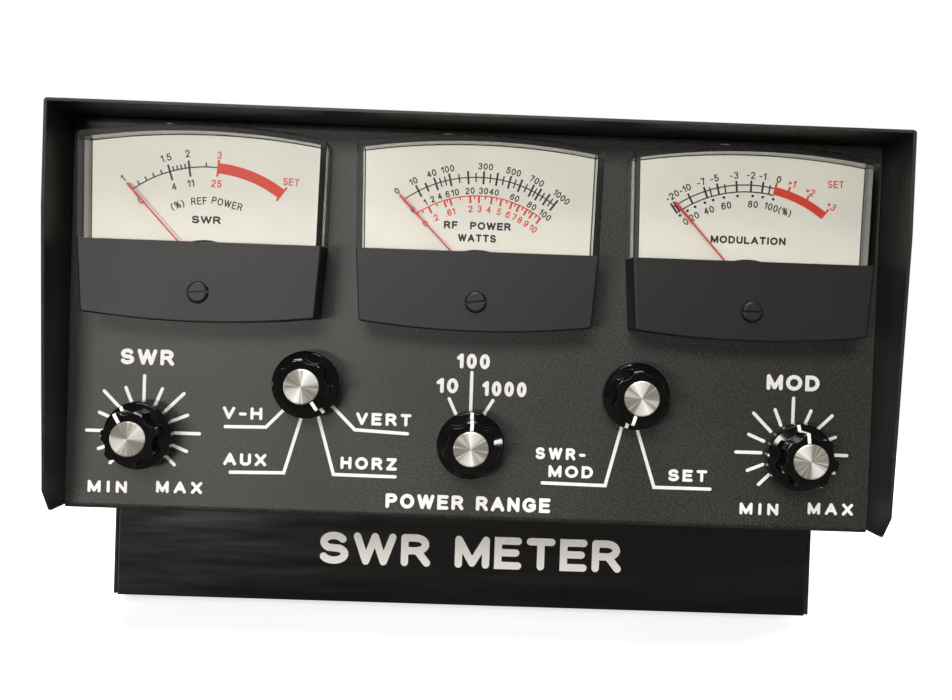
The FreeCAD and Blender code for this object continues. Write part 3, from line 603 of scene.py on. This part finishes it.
DIAL_CENTRE_DROP = 6.0      # from a pointer's pivot down to the middle of its scale arcs
FINE = 0.36                 # width of the lesser graduations
BOLD = 0.52                 # width of the main graduations
DIAL_TYPE = 0.3             # stroke of the dial's figures
TITLE_TYPE = 0.48           # stroke of its titles


def dial_prints(meter, shift=0.0):
    """The black and the red print of a dial, and the middle of its arcs."""
    u, v = hub(f"{meter}_needle_swing")
    face = (PANEL_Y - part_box(f"{meter}_dial")[0].y) / MM
    black = Print(f"{meter}_dial_black_print", INK_BLACK, INK, face)
    red = Print(f"{meter}_dial_red_print", INK_RED, INK, face)
    return black, red, (u + shift, v - DIAL_CENTRE_DROP)


def between(start, end, count):
    """Angles that split a space into count parts."""
    return [start + (end - start) * k / count for k in range(1, count)]


def labels(ink_print, centre, radius, height, marks):
    """Words set along an arc, each upright to its own radius."""
    for words, angle in marks.items():
        ink_print.words(words, polar(centre, radius, angle), height, DIAL_TYPE, angle)


def title(ink_print, words, centre, across, up, width):
    """Bolder words, level, placed from the middle of the arcs."""
    ink_print.words(words, (centre[0] + across, centre[1] + up), 2.0, TITLE_TYPE, width=width)


def swr_dial():
    black, red, centre = dial_prints("swr", 0.3)
    one, one_half, two, three, top = -36.5, -17.7, -8.7, 4.4, 36.0
    black.arc(centre, 32.38, 32.7, one, three)
    for angle in (one, one_half, two):
        black.tick(centre, 30.2, 34.4, angle, BOLD)
    for angle in between(one, one_half, 5) + between(one_half, two, 5) + [-1.0]:
        black.tick(centre, 32.5, 33.7, angle, FINE)
    red.arc(centre, 31.05, 33.75, three + 0.3, top)
    for angle in (three, top):
        red.tick(centre, 30.2, 34.6, angle, BOLD)
    labels(black, centre, 36.2, 1.9, {"1": -37.3, "1.5": one_half, "2": two})
    labels(black, centre, 28.5, 1.9, {"4": -17.8, "11": -9.0})
    labels(black, centre, 29.0, 1.9, {"0": one})
    labels(black, centre, 23.8, 1.9, {"(%)": -18.9, "REF": -5.3, "POWER": 12.3})
    labels(red, centre, 35.8, 1.9, {"3": three})
    labels(red, centre, 28.4, 1.9, {"25": three})
    red.words("SET", polar(centre, 36.4, top), 1.9, DIAL_TYPE, 4.0)
    title(black, "SWR", centre, -0.2, 18.9, 7.5)
    return black, red


def power_dial():
    black, red, centre = dial_prints("power")
    marks = [-29.0, -20.4, -13.6, -5.3, 1.8, 7.9, 13.8, 18.9, 24.5, 28.1, 32.5, 36.9]
    black.arc(centre, 32.29, 32.59, -36.5, 36.9)
    for angle in marks:
        black.tick(centre, 30.7, 34.1, angle, BOLD)
    for k, (start, end) in enumerate(zip(marks, marks[1:])):
        for angle in between(start, end, 3 if k == 1 else 2):
            black.tick(centre, 31.2, 33.6, angle, FINE)
    black.tick(centre, 31.2, 33.6, -24.9, FINE)
    labels(black, centre, 35.3, 1.75, {"0": -37.1, "10": -29.1, "40": -20.8, "100": -13.8, "300": 2.3,
                                       "500": 14.3, "700": 24.8, "1000": 37.2})
    labels(black, centre, 29.0, 1.7, {"0": -36.0, "1": -28.6, "2": -24.6, "4": -20.6, "6": -16.5,
                                      "10": -12.5, "20": -4.8, "30": 2.1, "40": 7.6, "60": 18.5,
                                      "80": 28.2, "100": 36.5})
    red_marks = [-28.1, -19.1, -15.8, -4.9, -0.1, 6.9, 12.2, 18.1, 22.2, 26.9, 30.5, 35.5]
    red.arc(centre, 27.51, 27.81, -36.0, 35.7)
    for angle in red_marks:
        red.tick(centre, 25.8, 27.7, angle, BOLD)
    for angle in [-32.0, -23.6] + [(a + b) / 2 for a, b in zip(red_marks[1:], red_marks[2:])]:
        red.tick(centre, 26.8, 27.7, angle, FINE)
    labels(red, centre, 24.3, 1.75, {"0": -34.5, ".2": -27.5, ".6": -18.9, "1": -15.5, "2": -5.1,
                                     "3": 0.5, "4": 6.1, "5": 12.5, "6": 18.2, "7": 22.4, "8": 26.3,
                                     "9": 30.6, "10": 35.8})
    title(black, "RF", centre, -7.1, 19.9, 3.6)
    title(black, "POWER", centre, 3.2, 19.9, 10.6)
    title(black, "WATTS", centre, -0.2, 16.7, 9.9)
    return black, red


def modulation_dial():
    black, red, centre = dial_prints("modulation", -0.35)
    zero = 12.0
    for radius in (33.03, 31.25):
        black.arc(centre, radius - 0.16, radius + 0.16, -36.0, zero)
    for angle in (-36.4, -35.0, -27.7, -20.2, -14.3, -5.7, 0.9, 6.2):
        black.tick(centre, 31.1, 34.2, angle, BOLD)
    for angle in (-17.9, -11.05, 9.45):
        black.tick(centre, 31.2, 33.7, angle, FINE)
    for angle in (-35.9, -31.5, -27.3, -22.1, -17.8, -12.3, -5.6, 1.9, 6.9, 12.2):
        black.dot(polar(centre, 30.25, angle), 0.36)
    red.arc(centre, 31.4, 33.5, zero - 0.1, 37.5)
    for angle in (zero, 18.05, 27.0, 37.3):
        red.tick(centre, 31.5, 34.6, angle, BOLD)
    labels(black, centre, 35.6, 1.85, {"-20": -34.0, "-10": -28.0, "-7": -20.7, "-5": -14.9,
                                       "-3": -6.5, "-2": 0.6, "-1": 5.6, "0": 12.5})
    labels(black, centre, 28.1, 1.85, {"0": -35.2, "20": -29.9, "40": -21.4, "60": -11.9, "80": 2.4,
                                       "100(%)": 15.9})
    labels(red, centre, 35.7, 1.85, {"+1": 18.3, "+2": 26.7, "+3": 37.4})
    red.words("SET", (centre[0] + 22.6, centre[1] + 34.0), 1.9, DIAL_TYPE)
    title(black, "MODULATION", centre, 0.3, 18.7, 19.6)
    return black, red


for draw in (swr_dial, power_dial, modulation_dial):
    for made in draw():
        made.finish("cabinet")


# ---------------------------------------------------------------- panel silk-screen

STROKE = 0.88               # graduations and leaders
PANEL_TYPE = 0.25           # stroke of the panel's letters, in capital heights


def pot_scale(silk, control, shift):
    """Thirteen graduations round a potentiometer, every other one longer, and short at the ends."""
    u, v = hub(f"{control}_turn")
    centre = (u + shift[0], v + shift[1])
    inner, long, short, shortest = 8.2, 14.9, 12.6, 12.0
    for k in range(-6, 7):
        outer = shortest if abs(k) == 6 else short if k % 2 else long
        silk.tick(centre, inner, outer, 22.5 * k, STROKE, round_ends=True)


def panel_silk():
    """Scales, leaders and names of the controls. The panel's middle says POWER RANGE."""
    silk = Print("panel_silk_screen", SILK_WHITE, SILK)
    pot_scale(silk, "swr_level", (-0.27, 0.35))
    pot_scale(silk, "mod_level", (-0.6, 0.3))
    u, v = hub("range_turn")
    silk.line([(u - 0.18, v + 8.4), (u - 0.18, v + 18.8)], STROKE)
    silk.line([(u - 3.95, v + 7.3), (u - 6.0, v + 11.6)], STROKE)
    silk.line([(u + 3.4, v + 7.75), (u + 5.65, v + 11.55)], STROKE)
    for leader in (
        [(-65.2, 22.9), (-54.4, 23.1), (-49.2, 28.5)],
        [(-63.5, 10.8), (-49.3, 11.1), (-44.7, 27.4)],
        [(-16.8, 22.6), (-30.8, 23.2), (-37.2, 29.5)],
        [(-19.7, 11.0), (-36.1, 11.1), (-40.8, 27.1)],
        [(19.6, 10.7), (36.4, 10.5), (40.4, 26.9)],
        [(64.5, 10.5), (49.5, 10.5), (44.4, 25.9)],
    ):
        silk.line(leader, STROKE)
    for words, centre, height, width, gap in (
        ("SWR", (-86.3, 40.65), 4.2, 14.2, 0.2), ("MOD", (85.7, 39.7), 4.2, 14.2, 0.2),
        ("MIN", (-95.9, 5.9), 3.2, 10.4, 0.5), ("MAX", (-76.9, 6.3), 3.2, 12.2, 0.42),
        ("MIN", (77.9, 5.6), 3.2, 10.4, 0.5), ("MAX", (97.1, 6.2), 3.2, 12.2, 0.42),
        ("V-H", (-60.7, 26.6), 3.3, 10.5, 0.3), ("AUX", (-59.7, 14.3), 3.3, 11.4, 0.3),
        ("VERT", (-23.2, 26.2), 3.3, 14.7, 0.3), ("HORZ", (-26.8, 14.3), 3.3, 15.0, 0.3),
        ("10", (-6.6, 35.8), 4.0, 5.8, 0.2), ("100", (0.1, 42.5), 4.0, 8.8, 0.2),
        ("1000", (8.6, 35.4), 4.0, 11.8, 0.2), ("SWR-", (24.2, 18.6), 3.2, 13.4, 0.3),
        ("MOD", (27.1, 13.9), 3.2, 11.9, 0.3), ("SET", (58.4, 13.9), 3.2, 10.5, 0.3),
        ("POWER RANGE", (0.0, 4.6), 3.9, 44.0, 0.2),
    ):
        silk.words(words, centre, height, PANEL_TYPE * height, width=width, gap=gap)
    return silk


panel_silk().finish("cabinet")


# ---------------------------------------------------------------- knob pointers

POINTER_WIDTH = 0.85
POINTER_PROUD = 0.03        # the filled line stands this much above the knob, and reaches as deep into it


def knob_marks(control):
    """White line filled along a knob: over its top, down the flank and across the skirt."""
    top = (PANEL_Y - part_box(f"{control}_knob")[0].y) / MM
    centre = hub(f"{control}_turn")
    angle = POINTERS[control]
    # The knob's outline as (radius, w): top, rounded corner, flank, then the skirt's cone and its edge.
    inner, flat_end, corner = 4.65, 6.55, 0.7
    path = [(inner, top), (flat_end, top)]
    for turn in (0.52, 1.05, 1.57):
        path.append((flat_end + corner * math.sin(turn), top - corner + corner * math.cos(turn)))
    path += [(flat_end + corner, top - 8.42), (8.4, top - 8.88), (8.66, top - 9.1)]
    path = [Vector(point) for point in path]
    heads = [(b - a).normalized() for a, b in zip(path, path[1:])]
    marks = Print(f"{control}_knob_line", SILK_WHITE, 0.0)
    rows = []
    for k, point in enumerate(path):
        along = (heads[max(k - 1, 0)] + heads[min(k, len(heads) - 1)]).normalized()
        out = Vector((-along.y, along.x)) * POINTER_PROUD
        row = []
        for side, where in ((-1, point + out), (1, point + out), (1, point - out), (-1, point - out)):
            middle = polar(centre, where.x, angle)
            across = polar((0, 0), side * POINTER_WIDTH / 2, angle + 90)
            row.append((middle[0] + across[0], middle[1] + across[1], where.y))
        rows.append(row)
    marks.bar(rows)
    return marks.finish(f"{control}_control")


for control in POINTERS:
    knob_marks(control)


# ---------------------------------------------------------------- chin and rear lettering

def chin_print():
    """What the thing is, in plain letters across the chin's overlay."""
    low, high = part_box("front_label")
    face = (PANEL_Y - low.y) / MM
    middle = ((low.z + high.z) / 2 - PANEL_Z) / MM
    chin = Print("chin_lettering", SILK_WHITE, SILK, face)
    chin.words("SWR METER", (2.0, middle), 10.0, 2.3, width=94.0)
    return chin


chin_print().finish("cabinet")


def rear_print():
    """Names over the sockets, as seen from behind, where u runs the other way."""
    rear = Print("rear_silk_screen", SILK_WHITE, SILK, plane=REAR)
    names = {"transmitter": "XMTR", "auxiliary": "AUX", "horizontal": "HORZ", "vertical": "VERT"}
    height, stroke = 3.3, 0.8
    name_up, rule_up, rule_half, inlet_name_up = 19.0, 15.6, 8, 11.0
    for mount in frame["record"]["mounts"]:
        x, _, z = mount["pos_m"]
        u, v = -x / MM, (z - PANEL_Z) / MM
        name = names.get(mount["name"].replace("_socket", ""))
        if name:
            rear.words(name, (u, v + name_up), height, stroke)
            rear.line([(u - rule_half, v + rule_up), (u + rule_half, v + rule_up)], 0.6)
        if mount["name"] == "power_inlet":
            rear.words("12 V DC", (u, v + inlet_name_up), height, stroke)
    return rear


rear_print().finish("cabinet")


# ---------------------------------------------------------------- floor, light and camera

AMBIENT = 0.07              # how bright the room is to everything but the lens
WHITE = (1.0, 1.0, 1.0)
WARM = (1.0, 0.975, 0.93)


def floor():
    """A pale disc, blank white to the lens. The object itself sees it as a darker table."""
    radius, fade_from, fade_to = 3.0, 0.35, 0.8         # in metres
    mesh = bpy.data.meshes.new("floor")
    ring = bmesh.new()
    bmesh.ops.create_circle(ring, cap_ends=True, segments=96, radius=radius)
    ring.to_mesh(mesh)
    ring.free()
    disc = bpy.data.objects.new("floor", mesh)
    bpy.context.scene.collection.objects.link(disc)
    finish = Finish("floor_paper")
    away = finish.vector_maths("LENGTH", finish.place)["Value"]
    rays = finish.add("ShaderNodeLightPath").outputs
    seen = rays["Is Camera Ray"]
    paper = finish.ramp(finish.noise(40.0, 3.0), (0.3, rgb(249, 249, 249)), (0.7, rgb(252, 252, 252)))
    finish.set(Base_Color=finish.mix(seen, rgb(84, 83, 80), paper), Roughness=0.8, Specular_IOR_Level=0.0)
    finish.set(Alpha=finish.scaled(away, 1.0, 0.0, fade_from, fade_to))
    in_highlights, in_soft_light = rgb(70, 68, 65), rgb(165, 162, 155)
    glow = finish.mix(seen, in_highlights, rgb(250, 250, 250))
    glow = finish.mix(rays["Is Diffuse Ray"], glow, in_soft_light)
    finish.set(Emission_Color=glow, Emission_Strength=0.8)
    mesh.materials.append(finish.material)


def backdrop():
    """White to the lens, and a dim room to the object."""
    world = bpy.data.worlds.new("studio")
    bpy.context.scene.world = world
    world.use_nodes = True
    tree = world.node_tree
    back = tree.nodes["Background"]
    path = tree.nodes.new("ShaderNodeLightPath")
    level = tree.nodes.new("ShaderNodeMapRange")
    level.inputs["To Min"].default_value = AMBIENT
    level.inputs["To Max"].default_value = 1.0
    tree.links.new(path.outputs["Is Camera Ray"], level.inputs["Value"])
    tree.links.new(level.outputs[0], back.inputs["Strength"])
    back.inputs["Color"].default_value = (*WHITE, 1.0)


def lamp(name, place, target, size, power, colour=WHITE, spared=(), only_gloss=False):
    """A soft box, in metres and watts. The spared nodes get none of its light."""
    light = bpy.data.lights.new(name, "AREA")
    light.shape = "RECTANGLE"
    light.size, light.size_y = size
    light.energy = power
    light.color = colour
    holder = bpy.data.objects.new(name, light)
    bpy.context.scene.collection.objects.link(holder)
    holder.location = place
    aim = Vector(target) - Vector(place)
    holder.rotation_euler = aim.to_track_quat("-Z", "Y").to_euler()
    # The clear covers cast no shadow, so lamplight mustn't reach the dials by refraction as well.
    holder.visible_transmission = False
    holder.visible_diffuse = not only_gloss
    if spared:
        group = bpy.data.collections.new(name + "_spares")
        for node in spared:
            group.objects.link(frame["nodes"][node])
        for entry in group.collection_objects:
            entry.light_linking.link_state = "EXCLUDE"
        holder.light_linking.receiver_collection = group


def photograph_camera():
    """The lens stands a third of a metre before the panel, turned and tipped very slightly."""
    pan, tilt, roll = 0.91, -1.31, 2.01         # in degrees
    lens = bpy.data.cameras.new("camera")
    lens.sensor_width = 36.0
    lens.lens = 46.42
    lens.clip_start = 0.01
    camera = bpy.data.objects.new("camera", lens)
    bpy.context.scene.collection.objects.link(camera)
    turn = Matrix.Rotation(-math.radians(pan), 4, "Z")
    tip = Matrix.Rotation(math.radians(90 + tilt), 4, "X")
    lean = Matrix.Rotation(math.radians(roll), 4, "Z")
    camera.matrix_world = Matrix.Translation(at(-4.5, 53.0, 326.5)) @ turn @ tip @ lean
    bpy.context.scene.camera = camera


floor()
backdrop()
MIDDLE = at(0, 45, 0)
WINDOWS = [f"{meter}_meter_window" for meter in METERS]
KNOBS = [f"{control}_{part}" for control in POINTERS for part in ("knob", "knob_cap")]
lamp("key", at(-130, 345, 900), MIDDLE, (0.34, 0.2), 4.0, WARM, WINDOWS)
lamp("ceiling", at(-40, 700, 300), MIDDLE, (0.5, 0.3), 4.4, spared=WINDOWS)
lamp("ceiling_gloss", at(-220, 850, 300), MIDDLE, (0.5, 0.14), 4.5, only_gloss=True)
lamp("low_left", at(-330, 10, 870), at(-60, 20, 0), (0.24, 0.08), 3.2, WARM, [*WINDOWS, *KNOBS, "wrap_cover"])
lamp("left_gloss", at(-800, -10, 260), MIDDLE, (0.1, 0.05), 0.8, only_gloss=True)
lamp("right_gloss", at(620, 40, 650), MIDDLE, (0.02, 0.09), 0.25, only_gloss=True)
lamp("rear", at(-250, 420, -1050), at(0, 45, -180), (0.5, 0.3), 9.0, spared=["wrap_cover"])
lamp("rear_side", at(700, 260, -700), at(0, 45, -120), (0.3, 0.4), 5.0)
photograph_camera()
bpy.context.scene.view_settings.view_transform = "Standard"
